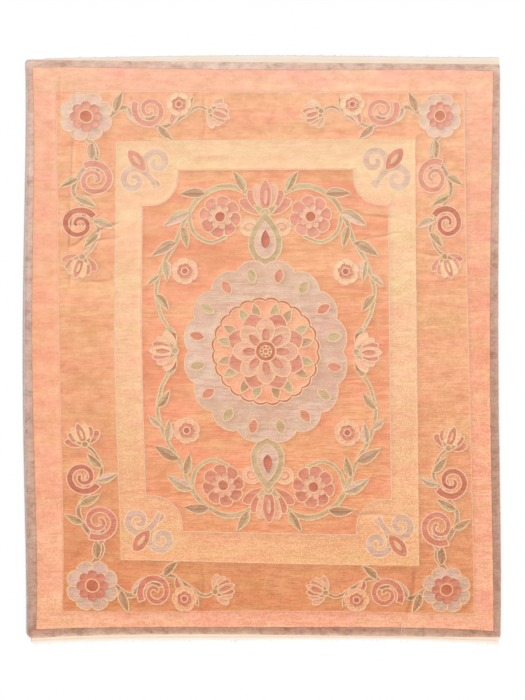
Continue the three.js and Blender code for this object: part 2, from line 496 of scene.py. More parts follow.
def draw(yarn, points, contour=None, width=None):
    if contour:
        shapes.append((contour, grown(points, width or pattern["contour"])))
    shapes.append((yarn, counterclockwise(points)))


onlyHere = ((1, 1),)
bothEnds = ((1, 1), (1, -1))
bothSides = ((1, 1), (-1, 1))
fourCorners = ((1, 1), (-1, 1), (-1, -1), (1, -1))


# A motif is a list of (yarn, outline, contour yarn or None) round its own origin.
def drawMotif(motif, x=0.0, y=0.0, angle=0.0, mirrors=onlyHere):
    for mirror in mirrors:
        for yarn, points, contour in motif:
            draw(yarn, placed(points, x, y, angle) * mirror, contour)


# Blades as shares of a motif's size: yarn, contour, length, width, base, tip, place along X and angles.
def blades(size, rows):
    return [(yarn, placed(blade(size * length, size * width, base, tip), size * shift, angle=angle), contour)
            for yarn, contour, length, width, base, tip, shift, angles in rows for angle in angles]


def ringOf(yarn, petal, count, contour=None, start=0.0):
    return [(yarn, placed(petal, angle=index * 360 / count + start), contour) for index in range(count)]


def rosette(radius, petals, outer, inner, eye, contour):
    width = 2 * math.pi * radius * 0.70 / petals * 1.12
    petal = placed(blade(radius * 0.86, width, 1.0, 0.42), radius * 0.14)
    innerPetal = placed(blade(radius * 0.50, width * 0.58, 0.9, 0.5), radius * 0.12)
    return [*ringOf(outer, petal, petals, contour), *ringOf(inner, innerPetal, petals, start=180 / petals),
            (eye, disc(radius * 0.24, 18), contour)]


def lotus(radius):
    behind = placed(blade(radius * 0.82, radius * 0.60, 0.9, 0.75), radius * 0.18)
    petal = placed(blade(radius * 0.66, radius * 0.44, 0.9, 0.62), radius * 0.16)
    heart = placed(blade(radius * 0.36, radius * 0.17, 0.8, 0.7), radius * 0.22)
    seed = placed(disc(radius * 0.026, 8), radius * 0.108)
    motif = ringOf("rose", behind, 8, "palePink", 22.5)
    for pair in zip(ringOf("blush", petal, 8, "paleCream"), ringOf("rose", heart, 8)):
        motif += pair
    return [*motif, ("maroon", disc(radius * 0.245, 28), "paleCream"),
            ("cream", disc(radius * 0.165, 24), None), *ringOf("maroon", seed, 8, start=20),
            ("maroon", disc(radius * 0.04, 10), None)]


# A flower seen from the side, opening along X.
def palmette(length, outer, inner, cup, contour):
    return blades(length, (
        (outer, contour, 0.86, 0.36, 0.8, 0.6, 0, (62, -62, 36, -36)),
        (inner, contour, 0.92, 0.32, 0.8, 0.6, 0, (18, -18)),
        (outer, contour, 1, 0.34, 0.8, 0.7, 0, (0,)),
        (inner, None, 0.52, 0.16, 0.8, 0.6, 0.24, (0,)),
        (cup, contour, 0.42, 0.15, 0.6, 0.9, -0.04, (48, -48)),
    )) + [(cup, placed(disc(length * 0.12, 14), length * 0.02), contour)]


def bud(length, petal, cup, contour):
    return blades(length, ((petal, contour, 1, 0.46, 0.7, 0.8, 0, (0,)),
                           (cup, None, 0.55, 0.2, 0.5, 1.0, 0, (24, -24))))


# Leaves on both sides of a stem: each is (share of the path, side, length, yarn, yarn of its shaded half).
def leavesAlong(path, leaves, slant=46, bend=0.22):
    motif = []
    for share, side, length, yarn, shaded in leaves:
        index = int(np.clip(share * (len(path) - 1), 1, len(path) - 2))
        heading = path[index + 1] - path[index - 1]
        angle = math.degrees(math.atan2(heading[1], heading[0])) + side * slant
        leaf = blade(length, length * 0.38, 0.75, 1.05, bend=-side * bend)
        spine = len(leaf) // 2
        middle = np.stack([leaf[:, 0], -side * bend * (leaf[:, 0] / length) ** 2 * length], axis=1)
        lower = np.concatenate([leaf[:spine + 1], middle[:spine + 1][::-1]])
        motif.append((yarn, placed(leaf, *path[index], angle), "paleCream"))
        motif.append((shaded, placed(lower, *path[index], angle), None))
    return motif


def curl(radius, turns, startWidth, endWidth, yarn, contour, start, hand):
    return [(yarn, ribbon(spiralPath(radius, turns, start, hand), startWidth, endWidth), contour)]


# Two scrolls that meet under a bud, pointing along X.
def cloudScroll(size, yarn, accent, contour):
    motif = []
    for hand in (1, -1):
        arm = spiralPath(size * 0.40, 1.25, -90 * hand, hand) + (0.0, hand * size * 0.44)
        tail = smoothPath([(-size * 0.62, hand * size * 0.08), (-size * 0.30, hand * size * 0.01), arm[0]])
        path = np.concatenate([tail[:-1], arm])
        motif.append((yarn, ribbon(path, size * 0.10, size * 0.10, size * 0.19), contour))
    return motif + blades(size, ((accent, contour, 0.80, 0.40, 0.8, 0.7, 0.02, (0,)),
                                 (contour, None, 0.40, 0.14, 0.8, 0.7, 0.22, (0,))))


# The sprays, from the end palmette round to the side of the medallion.
def drawSprays():
    stem = smoothPath([(0.020, 0.745), (0.105, 0.832), (0.225, 0.860), (0.345, 0.800), (0.415, 0.695),
                       (0.462, 0.575), (0.530, 0.455), (0.566, 0.320), (0.545, 0.200), (0.505, 0.120)])
    branch = smoothPath([(0.402, 0.722), (0.372, 0.620), (0.290, 0.570), (0.205, 0.598)])
    twig = smoothPath([(0.522, 0.470), (0.470, 0.425), (0.425, 0.425)])
    spray = [("sage", ribbon(path, *widths), "paleCream")
             for path, *widths in ((branch, 0.016, 0.011), (twig, 0.013, 0.010), (stem, 0.024, 0.012))]
    spray += leavesAlong(stem, [
        (0.12, 1, 0.110, "sage", "olive"), (0.31, 1, 0.125, "greyBrown", "olive"),
        (0.42, 1, 0.140, "sage", "mauveGrey"), (0.50, -1, 0.105, "olive", "sage"),
        (0.58, 1, 0.135, "olive", "greyBrown"), (0.68, -1, 0.100, "sage", "mauveGrey"),
        (0.75, 1, 0.075, "mauveGrey", "sage"), (0.84, -1, 0.100, "sage", "olive")])
    for motif, *place in (
            (spray,),
            (rosette(0.108, 8, "rose", "blush", "maroon", "paleCream"), 0.236, 0.702, 10),
            (rosette(0.064, 6, "cream", "rose", "maroon", "palePink"), 0.418, 0.418, 20),
            (curl(0.050, 1.4, 0.013, 0.008, "cream", "palePink", 200, -1), 0.088, 0.640),
            (bud(0.095, "maroon", "sage", "paleCream"), 0.505, 0.125, -112)):
        drawMotif(motif, *place, mirrors=fourCorners)
    drawMotif(palmette(0.132, "cream", "rose", "sage", "palePink"), 0.468, 0.0, 0, bothSides)


def drawMedallion():
    drawMotif(palmette(0.175, "rose", "blush", "sage", "paleCream"), 0.0, 0.716, 90, bothEnds)
    drop = placed(blade(0.270, 0.170, 0.62, 0.95), angle=90)
    pendant = [("sage", drop, "paleCream"),
               ("mauveGrey", placed(drop * (0.62, 0.68), 0, 0.036), "paleCream"),
               ("maroon", placed(drop * (0.26, 0.34), 0, 0.088), None)]
    drawMotif(pendant, 0.0, 0.452, mirrors=bothEnds)
    radiusX, radiusY = pattern["medallion"]
    lobes = pattern["medallionLobes"]
    draw("mauveGrey", lobedDisc(radiusX, radiusY, lobes, 0.07), "paleCream", pattern["paleLine"])
    for index in range(lobes):
        angle = (index + 0.5) * 360 / lobes
        turn = math.radians(angle)
        x, y = radiusX * 0.765 * math.cos(turn), radiusY * 0.765 * math.sin(turn)
        yarn = "rose" if index % 2 else "sage"
        drawMotif([(yarn, blade(0.074, 0.044, 0.8, 0.8), "paleCream")], x, y, angle)
    inner = pattern["innerDisc"]
    draw("maroon", lobedDisc(inner + 0.014, inner + 0.014, 24, 0.05, 6), "paleCream")
    draw("salmon", lobedDisc(inner, inner, 24, 0.05, 6), "paleCream", 0.005)
    leaf = placed(blade(0.076, 0.042, 0.7, 1.0), inner * 0.66)
    for pair in zip(ringOf("olive", leaf, 8, "paleCream", 13.5), ringOf("sage", leaf, 8, "paleCream", 31.5)):
        drawMotif(pair)
    drawMotif(lotus(0.205))


def drawBorder():
    corner = np.array(pattern["corner"])
    # Along the side, then along the end.
    sidePath = smoothPath(corner + [(0, -0.10), (-0.048, -0.19), (0.025, -0.29), (0.062, -0.39),
                                    (0.005, -0.49), (-0.058, -0.59), (-0.028, -0.69), (0.020, -0.735)])
    endPath = smoothPath(corner + [(-0.10, 0), (-0.19, 0.046), (-0.29, -0.022), (-0.39, -0.056),
                                   (-0.49, -0.002), (-0.57, 0.048), (-0.63, 0.028)])
    garland = [("greyBrown", ribbon(path, 0.022, 0.010), "paleCream") for path in (sidePath, endPath)]
    garland += leavesAlong(sidePath, [
        (0.07, 1, 0.105, "olive", "greyBrown"), (0.18, -1, 0.115, "mauveGrey", "greyBrown"),
        (0.36, 1, 0.090, "sage", "olive"), (0.50, -1, 0.105, "olive", "sage"),
        (0.58, 1, 0.100, "blush", "rose"), (0.70, -1, 0.100, "mauveGrey", "sage"),
        (0.80, 1, 0.095, "sage", "olive")])
    garland += leavesAlong(endPath, [
        (0.08, -1, 0.105, "olive", "greyBrown"), (0.20, 1, 0.095, "mauveGrey", "greyBrown"),
        (0.38, -1, 0.090, "sage", "olive"), (0.50, 1, 0.095, "greyBrown", "olive"),
        (0.62, -1, 0.100, "blush", "rose"), (0.76, -1, 0.095, "olive", "sage")])
    drawMotif(garland, mirrors=fourCorners)
    for motif, place, angle in (
            (curl(0.088, 1.5, 0.031, 0.013, "rose", "palePink", 60, 1), (-0.036, -0.330), 0),
            (curl(0.082, 1.5, 0.030, 0.013, "maroon", "palePink", 150, -1), (0.036, -0.565), 0),
            (curl(0.084, 1.5, 0.030, 0.013, "rose", "palePink", 30, -1), (-0.318, 0.030), 0),
            (rosette(0.060, 6, "cream", "rose", "maroon", "palePink"), (-0.47, 0.064), 0),
            (palmette(0.118, "rose", "cream", "olive", "paleCream"), (0.020, -0.735), -72),
            (palmette(0.108, "blush", "rose", "olive", "paleCream"), (-0.630, 0.028), 200),
            (rosette(0.122, 8, "mauveGrey", "rose", "maroon", "paleCream"), (0, 0), 22.5)):
        drawMotif(motif, *(corner + place), angle, fourCorners)


def drawPattern():
    edgeLine, paleLine = pattern["edgeLine"], pattern["paleLine"]
    draw("rim", rectangle(evenAcross[-1], evenAlong[-1]))
    draw("salmon", rectangle(evenAcross[-2], evenAlong[-2]))
    draw("border", rectangle(evenAcross[-3], evenAlong[-3]), "paleSalmon", paleLine)
    draw("cream", rectangle(evenAcross[-4] - edgeLine, evenAlong[-4] - edgeLine), "paleCream", edgeLine)
    panel = notchedRectangle(*pattern["panel"], pattern["notch"], pattern["notchStep"])
    draw("orange", panel, "palePink", paleLine)
    scroll = cloudScroll(0.172, "mauveGrey", "rose", "paleCream")
    drawMotif(scroll, 0.628, 0.944, 52, fourCorners)
    drawSprays()
    drawMedallion()
    drawBorder()


drawPattern()
print("pattern drawn:", len(shapes), "outlines")


# Each yarn's colour at the high end and at the low end of the rug, as screen levels: its dye, with painted
# light that makes it paler towards the high end. Then how strong its streaks, its mottling, the drift
# between its dye lots, its odd skeins and its grain are.
yarnColumns = ("high", "low", "streaks", "mottling", "drift", "skeins", "grain")
yarnRows = {
    "rim": ((226, 188, 172), (189, 146, 126), 1.0, 1.15, 0.8, 0.6, 0.8),
    "salmon": ((254, 196, 168), (251, 182, 149), 0.8, 1.4, 1.6, 0.12, 1.0),
    "border": ((253, 191, 154), (227, 149, 104), 1.45, 1.4, 1.3, 0.2, 0.8),
    "cream": ((254, 214, 176), (244, 178, 132), 0.95, 1.0, 1.2, 0.05, 1.2),
    "orange": ((250, 181, 144), (240, 160, 117), 2.0, 1.3, 1.8, 0.15, 0.8),
    "mauveGrey": ((238, 202, 182), (220, 177, 156), 1.6, 1.1, 0.8, 0.15, 1.0),
    "rose": ((236, 166, 146), (218, 136, 110), 1.6, 1.2, 0.9, 0.2, 1.0),
    "blush": ((246, 196, 172), (238, 174, 144), 1.2, 1.0, 0.9, 0.12, 1.0),
    "maroon": ((216, 138, 116), (202, 118, 92), 1.8, 1.3, 0.8, 0.25, 1.0),
    "sage": ((214, 190, 152), (206, 172, 134), 1.4, 1.2, 0.7, 0.2, 1.0),
    "olive": ((212, 172, 138), (192, 144, 108), 2.0, 1.3, 0.8, 0.3, 1.0),
    "greyBrown": ((214, 178, 154), (190, 146, 118), 2.2, 1.3, 0.8, 0.35, 1.0),
    "paleCream": ((255, 219, 184), (249, 200, 156), 0.6, 0.5, 0.4, 0.0, 1.0),
    "palePink": ((255, 216, 192), (252, 199, 168), 0.6, 0.5, 0.4, 0.0, 1.0),
    "paleSalmon": ((255, 209, 184), (251, 186, 152), 0.6, 0.5, 0.4, 0.0, 1.0),
}
yarns = {name: dict(zip(yarnColumns, row)) for name, row in yarnRows.items()}
# The plain bands have a colour of their own half way, and the change from end to end slants across two of
# them.
yarns["rim"].update(mid=(209, 168, 150), slant=-0.55, faded=1.0)
yarns["salmon"].update(mid=(251, 180, 145))
yarns["border"].update(mid=(246, 181, 140), slant=0.1)
yarnNames = list(yarns)

# For each outline, and last for places off the rug: its yarn, and what kind of place it is.
shapeYarns = np.array([yarnNames.index(yarn) for yarn, _ in shapes] + [-1])
isPale = np.array([yarn.startswith("pale") for yarn, _ in shapes] + [False])
isPanel = np.array([yarn == "orange" for yarn, _ in shapes] + [False])


# The outlines cut into one sheet of triangles

net = {
    "lineSpacing": 0.0090,
    "longSpacing": 0.0060,       # along outlines that are longer than longOutline
    "longOutline": 0.45,
    "closest": 1e-5,
    "besideStep": 0.0006,        # how far beside a line its two yarns are looked up
    "besideShare": 0.8,          # how far a point beside one line keeps from the others
    "shortEdge": 0.0070,
    "shortThinning": 0.0050,
    "longThinning": 0.0014,
    "ringSpacing": 0.011,
    "margin": 0.012,             # beside the rug's edges, where only rings are
    "extraGap": 0.0025,
    "rowShare": 0.87,            # from one row of fill to the next, as a share of the spacing along it
    "fillGap": 0.45,             # how far fill keeps from lines, as a share of its spacing
}


def isInside(points, outline):
    inside = np.zeros(len(points), bool)
    x, y = points.T
    for (x1, y1), (x2, y2) in zip(outline, np.roll(outline, -1, axis=0)):
        if y1 == y2:
            continue
        crosses = (y1 > y) != (y2 > y)
        inside ^= crosses & (x < (x2 - x1) * (y - y1) / (y2 - y1) + x1)
    return inside


def distanceTo(points, targets):
    tree = KDTree(len(targets))
    for index, (x, y) in enumerate(targets):
        tree.insert((x, y, 0), index)
    tree.balance()
    return np.array([tree.find((x, y, 0))[2] for x, y in points])


# The topmost outline at each point, or -1 off the rug.
def topsAt(points):
    found = np.full(len(points), -1)
    for number, (_, outline) in enumerate(shapes):
        low, high = outline.min(axis=0), outline.max(axis=0)
        near = np.nonzero(((points > low) & (points < high)).all(axis=1))[0]
        found[near[isInside(points[near], outline)]] = number
    return found


def triangulated(points, edges):
    vertices, _, faces, *_ = delaunay_2d_cdt(points.tolist(), edges.tolist(), [], 0, net["closest"], False)
    vertices = np.array([tuple(vertex) for vertex in vertices])
    faces = np.array(faces)
    tops = topsAt(vertices[faces].mean(axis=1))
    kept = tops >= 0
    return vertices, faces[kept], tops[kept]


def sidesOf(faces):
    return np.concatenate([faces[:, [0, 1]], faces[:, [1, 2]], faces[:, [2, 0]]])


# Every edge with the outlines on its two sides. The second is -1 along the rug's own edge.
def edgesOf(faces, tops):
    pairs = np.sort(sidesOf(faces), axis=1)
    beside = np.tile(tops, 3)
    order = np.lexsort((pairs[:, 1], pairs[:, 0]))
    pairs, beside = pairs[order], beside[order]
    again = np.append((pairs[1:] == pairs[:-1]).all(axis=1), False)
    first = np.nonzero(~np.concatenate([[False], again[:-1]]))[0]
    other = np.where(again[first], beside[np.minimum(first + 1, len(beside) - 1)], -1)
    return pairs[first], beside[first], other


# The lines that show, where one yarn meets another or the rug ends.
def findLines():
    points, edges, start = [], [], 0
    for _, outline in shapes:
        isLong = np.ptp(outline, axis=0).max() > net["longOutline"]
        line = subdivided(outline, net["longSpacing"] if isLong else net["lineSpacing"])
        order = start + np.arange(len(line))
        start += len(line)
        points.append(line)
        edges.append(np.stack([order, np.roll(order, -1)], axis=1))
    vertices, faces, tops = triangulated(np.concatenate(points), np.concatenate(edges))
    pairs, one, other = edgesOf(faces, tops)
    used, renumbered = np.unique(pairs[shapeYarns[one] != shapeYarns[other]], return_inverse=True)
    # Points closer than a knot become one.
    cells = np.round(vertices[used] / rugLines["knot"])
    _, first, joined = np.unique(cells, axis=0, return_index=True, return_inverse=True)
    pairs = np.sort(joined.ravel()[renumbered.reshape(-1, 2)], axis=1)
    return vertices[used][first], np.unique(pairs[pairs[:, 0] != pairs[:, 1]], axis=0)


# One point of those that share a small square.
def thinned(points, size):
    return points[np.unique(np.round(points / size), axis=0, return_index=True)[1]]


linePoints, lineEdges = findLines()
print("lines found:", len(lineEdges), "edges")

# How far the clipper opens a line, and so how much shade is painted into it.
cuts = {
    "between": 0.85,             # where two colours meet
    "outside": 0.50,             # along the outer side of a pale contour
    "frame": 0.40,               # between the panel and the pale frame round it
    # Where the second yarn lies over the first. Cream is flush with its own pale line.
    "pairs": (("rim", "salmon", 0.15), ("cream", "paleCream", 0), ("paleCream", "cream", 0)),
    # Shade on the rim, outwards from its inner line: its start, how wide it rises, its end and how wide
    # it falls.
    "rimShade": (-0.0010, 0.0026, 0.0062, 0.0028),
}


def carvedShare(one, other):
    under, over = np.minimum(one, other), np.maximum(one, other)
    share = np.where(isPale[over], cuts["outside"], cuts["between"])
    share[isPale[under] & ~isPale[over]] = 0
    share[isPale[under] & isPanel[over]] = cuts["frame"]
    for first, second, cut in cuts["pairs"]:
        first, second = yarnNames.index(first), yarnNames.index(second)
        share[(shapeYarns[under] == first) & (shapeYarns[over] == second)] = cut
    share[(under < 0) | (shapeYarns[under] == shapeYarns[over])] = 0
    return share


# Points beside the open lines, so that a line stays as narrow as it was cut.
def pointsBeside(distance):
    ends = linePoints[lineEdges]
    middles = ends.mean(axis=1)
    ahead = ends[:, 1] - ends[:, 0]
    length = np.linalg.norm(ahead, axis=1)
    aside = np.stack([-ahead[:, 1], ahead[:, 0]], axis=1) / length[:, None]
    sides = [topsAt(middles + aside * hand * net["besideStep"]) for hand in (1, -1)]
    share = carvedShare(*sides)
    isShort = length < net["shortEdge"]
    points = []
    for hand, top in zip((1, -1), sides):
        wanted = (share > 0) & ~(isPale[top] & (share == cuts["outside"]))
        row = middles + aside * hand * distance
        points.append(thinned(row[wanted & isShort], net["shortThinning"]))
        points.append(thinned(row[wanted & ~isShort], net["longThinning"]))
    points = np.concatenate(points)
    return points[distanceTo(points, np.concatenate([linePoints, middles])) > net["besideShare"] * distance]


# Triangles between the lines. grooveHalf adds a row of points beside each line, and insets add rings.
def cutSheet(fillSpacing, grooveHalf=None, insets=(), extra=None):
    limit = np.array([evenAcross[-1], evenAlong[-1]])
    halfWidth, halfLength = limit
    loose = [subdivided(rectangle(*(limit - inset)), net["ringSpacing"]) for inset in insets]
    if grooveHalf:
        beside = pointsBeside(grooveHalf)
        loose.append(beside[(abs(beside) < limit - net["margin"]).all(axis=1)])
    if extra is not None:
        extra = extra[(abs(extra) < limit - net["margin"]).all(axis=1)]
        loose.append(extra[distanceTo(extra, np.concatenate([linePoints, *loose])) > net["extraGap"]])
    drawn = np.concatenate([linePoints, *loose])
    fill = []
    rows = np.arange(-halfLength + fillSpacing / 2, halfLength, fillSpacing * net["rowShare"])
    for number, y in enumerate(rows):
        across = np.arange(-halfWidth + fillSpacing / 2 * (1 + number % 2), halfWidth, fillSpacing)
        fill.append(np.stack([across, np.full(len(across), y)], axis=1))
    fill = np.concatenate(fill)
    fill = fill[distanceTo(fill, drawn) > fillSpacing * net["fillGap"]]
    return triangulated(np.concatenate([drawn, fill]), lineEdges)


# The points that faces use, and the new number of each.
def usedBy(faces, count):
    used = np.unique(faces)
    renumbered = np.full(count, -1)
    renumbered[used] = np.arange(len(used))
    return used, renumbered


# How far the nap is open at each point, 1 at most. It sets the groove's depth and its painted shade.
def carvedAt(points, faces, tops, half):
    pairs, one, other = edgesOf(faces, tops)
    shares = carvedShare(one, other)
    carveShade = np.zeros(len(points))
    for share in np.unique(shares[shares > 0]):
        cut = pairs[shares == share]
        lines = np.concatenate([points[cut[:, 0]], points[cut[:, 1]], points[cut].mean(axis=1)])
        carveShade = np.maximum(carveShade, share * (1 - distanceTo(points, lines) / half).clip(0, 1))
    return carveShade


# Wool

wool = {
    "washed": (1.09, 1.14, 1.19),    # what a paler row does to the dye
    "deep": (0.91, 0.83, 0.75),
    "rosy": (1.01, 0.90, 0.92),      # how far the dye drifts from one lot to the next
    "tawny": (0.99, 1.06, 0.97),
    "worn": (1.32, 1.50, 1.58),      # the thin nap along the two ends: worn paler, and painted light over the shade of its slope
    "faded": (0.97, 1.16, 1.36),     # the outer part of the side rims, the left one most
    "fadeReach": (1.198, 1.238),
    "darkSkein": (0.56, 0.50, 0.47),
    "paleSkein": (1.22, 1.26, 1.24),
    # Painted shade for the grooves, the folds and the rim's inner line: its colour and how strong it is.
    "paintedShadeColour": (0.34, 0.13, 0.07, 1),
    "paintedShadeShare": 0.42,
    "midShare": 0.68,                # how near the colour half way is to the one at the high end
    "lightShare": 1.06,              # how brightly the studio lights a level surface
    "sheen": 0.18,
    "bump": 0.75,
}


def makeHandSpunWool():
    group, given = newGroup("handSpunWool", {
        "Place": "Vector", "High End Colour": "Color", "Half Way Colour": "Color", "Low End Colour": "Color", "Lot": 0.0,
        "Streaks": 1.0, "Mottling": 1.0, "Drift": 1.0, "Skeins": 0.0, "Slant": 0.0, "Grain": 1.0,
        "Faded": 0.0, "Worn": 0.0, "Carveshade": 0.0})
    place = given["Place"]
    plus, times, timesPlus = (partial(calculate, group, kind)
                              for kind in ("ADD", "MULTIPLY", "MULTIPLY_ADD"))
    noise = partial(noiseOf, group, place)
    lot = addNode(group, "ShaderNodeCombineXYZ", dict.fromkeys("XYZ", given["Lot"])).outputs[0]
    x, y, _ = addNode(group, "ShaderNodeSeparateXYZ", {"Vector": place}).outputs

    # Rows of knots run across the rug, so an uneven dye shows as streaks along X, stronger in some places.
    broad = noise((0.9, 5.5, 1), lot)
    patches = noise((3.4, 8.5, 2), lot)
    rows = noise((5.5, 58, 1), lot, 3.5, 0.62)
    threads = noise((15, 170, 1), lot, 1.5)
    clouds = noise((15, 21, 16), lot, 3, 0.6)
    grain = noise((135, 125, 60), lot, 1)
    strength = ramp(group, patches, -0.16, 0.18, 0.35, 1.75)
    # The rows and knots stand out more towards the lower right.
    crisp = ramp(group, timesPlus(x, 0.4, times(y, -1)), -0.7, 1.3, 0.45, 1.95)
    threads = times(times(threads, crisp), 0.95)
    rows = times(rows, timesPlus(crisp, 0.45, 0.55))
    streaks = timesPlus(timesPlus(rows, 1.05, threads), strength, times(broad, 1.1))
    tone = timesPlus(streaks, given["Streaks"], 0.5)
    tone = timesPlus(times(clouds, 1.1), given["Mottling"], tone)
    tone = timesPlus(times(times(grain, crisp), 1.5), given["Grain"], tone)

    # Painted light: the colour grows paler from the low end of the rug to the high end. The dye drifts from
    # lot to lot.
    litDye = given["Low End Colour"]
    onward = timesPlus(broad, 0.5, timesPlus(x, given["Slant"], y))
    for start, end, name in ((-1.35, 0.0, "Half Way Colour"), (0.0, 1.5, "High End Colour")):
        litDye = mixed(group, ramp(group, onward, start, end), litDye, given[name])
    lots = noise((2.6, 10.5, 3), plus(given["Lot"], 5.3), 2.5, 0.55)
    lotShare = timesPlus(times(lots, 2.2), given["Drift"], 0.5)
    drifted = mixed(group, lotShare, (*wool["rosy"], 1), (*wool["tawny"], 1))
    litDye = mixed(group, 1.0, litDye, drifted, "MULTIPLY")
    colour = mixed(group, tone, tinted(group, litDye, wool["washed"]), tinted(group, litDye, wool["deep"]))

    # Faded sides, worn ends lightened further by painted light, and short lengths of other skeins, darker or
    # paler.
    atSide = ramp(group, calculate(group, "ABSOLUTE", x), *wool["fadeReach"])
    atSide = times(atSide, timesPlus(x, -0.25, 0.7))
    knots = noise((19, 27, 12), plus(given["Lot"], 8.6), 3, 0.62)
    for share, tint in ((times(atSide, given["Faded"]), "faded"), (given["Worn"], "worn"),
                        (times(ramp(group, knots, 0.01, 0.19), given["Skeins"]), "darkSkein"),
                        (times(ramp(group, knots, -0.01, -0.19), given["Skeins"]), "paleSkein")):
        colour = mixed(group, share, colour, tinted(group, colour, wool[tint]))
    # Painted shade in the carved grooves, on the upper left of the folds and beside the rim's inner line.
    colour = mixed(group, times(given["Carveshade"], wool["paintedShadeShare"]), colour, wool["paintedShadeColour"])

    cells = addNode(group, "ShaderNodeTexVoronoi", {
        "Vector": scaled(group, place, (290, 330, 290)), "Scale": 1.0, "Randomness": 0.8})
    tufts = cells.outputs["Distance"]
    height = timesPlus(noise((38, 60, 38), lot, 3, 0.6), 0.0030, times(tufts, -0.0010))
    addNode(group, "NodeGroupOutput", {
        "Color": colour, "Roughness": timesPlus(tufts, 0.12, 0.84), "Height": height})
    return group


handSpunWool = makeHandSpunWool()


def baseColourOf(levels):
    colour = linearColour(levels)
    return tuple(level / wool["lightShare"] for level in colour[:3]) + (1.0,)


def makeYarn(name, lot, high, low, mid=None, **options):
    high, low = np.array(high), np.array(low)
    if mid is None:
        mid = low + wool["midShare"] * (high - low)
    values = {"High End Colour": baseColourOf(high), "Half Way Colour": baseColourOf(mid), "Low End Colour": baseColourOf(low), "Lot": lot}
    values.update({option.title(): value for option, value in options.items()})
    return makeCloth(name + "Yarn", handSpunWool, values, ("carveShade", "worn"), wool["bump"], wool["sheen"])


yarnMaterials = [makeYarn(name, 1.7 + index * 3.1, **yarns[name]) for index, name in enumerate(yarnNames)]
print("yarns dyed:", len(yarnMaterials))


# The pile

pile = {
    "foot": 0.0030,
    "sideFoot": 0.0080,
    "sideStep": 0.0004,          # how near the side a point stands on the higher foot
    "lean": 0.0020,
    "leanFade": 0.03,            # how far from an end the lean is full
    "height": 0.0120,
    "swell": 0.0004,
    "shoulder": 0.0090,
    # At each end: how far the nap rises, how round its slope is, how far it is paled by wear and painted
    # light, and how much of that paling the rest of its rim gets.
    "ends": {"low": (0.0240, 1.4, 0.020, 0.0), "high": (0.0440, 1.1, 0.011, 0.42)},
    "wornRim": (0.050, 0.006),   # how wide that rim is, and how softly its paling stops
    "grooveHalf": 0.0031,
    "grooveDepth": 0.0030,
    "fillSpacing": 0.0320,
    "creaseSpacing": (0.0105, 0.0046),
    "rings": (0.0025, 0.0055, 0.0095, 0.0160, 0.0240, 0.0388, 0.0434),
}

# Low folds: where each one is, its heading in degrees from X, its length, width and height, how much shade
# is painted along its upper left flank, and how it bends.
creases = (
    (-0.296, 1.215, 90, 0.280, 0.026, 0.0022, 0.35, 0.03),
    (-0.982, 1.010, 87, 0.640, 0.022, 0.0026, 0.35, 0.01),
    (-1.050, 1.270, 90, 0.280, 0.024, 0.0022, 0.28, -0.02),
    (-0.992, 0.625, 87, 0.200, 0.022, 0.0044, 0.9, 0.03),
    (-0.955, 0.642, 2, 0.200, 0.024, 0.0034, 0.7, 0.02),
    (-0.822, 0.622, 25, 0.170, 0.022, 0.0044, 0.9, -0.04),
    (-0.952, 0.552, 34, 0.120, 0.020, 0.0040, 0.85, 0.04),
    (-0.835, 0.560, 6, 0.190, 0.020, 0.0030, 0.5, 0.05),
    (-0.880, 0.805, 10, 0.190, 0.022, 0.0030, 0.5, -0.06),
    (-0.995, 0.400, 90, 0.170, 0.022, 0.0026, 0.45, 0.02),
    (-0.860, 0.345, 4, 0.180, 0.026, 0.0028, 0.45, 0.04),
    (0.786, -1.280, 80, 0.260, 0.036, 0.0050, 0.9, 0.03),
    (0.560, 0.690, -12, 0.320, 0.030, 0.0030, 0.5, 0.05),
    (0.600, 0.580, 14, 0.240, 0.022, 0.0036, 0.6, -0.05),
    (-0.120, 0.610, 2, 0.600, 0.036, 0.0024, 0.35, 0.03),
    (0.930, 0.470, -10, 0.260, 0.032, 0.0028, 0.45, 0.04),
    (0.520, -0.870, 4, 0.420, 0.034, 0.0026, 0.45, -0.04),
    (-0.300, -1.230, 90, 0.260, 0.034, 0.0026, 0.45, 0.03),
)


# How far the nap has risen at a distance from the end, from 0 to 1, and how far it is paled there, by wear
# and by painted light over the shade of its slope.
def napAt(fromEnd, end):
    shoulder, roundness, paleReach, wornRim = pile["ends"][end]
    width, fade = pile["wornRim"]
    rise = 1 - (1 - (fromEnd / shoulder).clip(0, 1)) ** roundness
    worn = (1 - fromEnd / paleReach).clip(0, 1) ** 1.3
    return rise, np.maximum(worn, wornRim * ((width - fromEnd) / fade).clip(0, 1))


# How high each point is raised, and how much shade is painted on the upper left of each fold.
def creased(points):
    raised, paintedFoldShade = np.zeros(len(points)), np.zeros(len(points))
    for number, (x, y, heading, length, width, height, foldShadeStrength, bend) in enumerate(creases):
        turn = math.radians(heading)
        dx, dy = (points - (x, y)).T
        along = (dx * math.cos(turn) + dy * math.sin(turn)) / (length / 2)
        path = bend * length * (along ** 2 + 0.35 * np.sin(4.2 * along + number))
        across = (dy * math.cos(turn) - dx * math.sin(turn) - path) / (width / 2)
        uneven = (1 + 0.28 * np.sin(6.1 * along + 2 * number)) * np.exp(-along ** 4)
        raised += height * uneven * np.exp(-abs(across) ** 1.7)
        paintedFoldShade += foldShadeStrength * uneven * np.exp(-((across - 0.45) / 0.42) ** 2)
    return raised, paintedFoldShade.clip(0, 1)


# Closer points where the creases are.
def creasePoints():
    points = []
    for x, y, heading, length, width, *_ in creases:
        along, across = (np.arange(-reach, reach, spacing)
                         for reach, spacing in zip((length * 0.6, width * 1.2), pile["creaseSpacing"]))
        grid = np.stack(np.meshgrid(along, across), axis=-1).reshape(-1, 2)
        points.append(placed(grid, x, y, heading))
    return fromRug(np.concatenate(points))


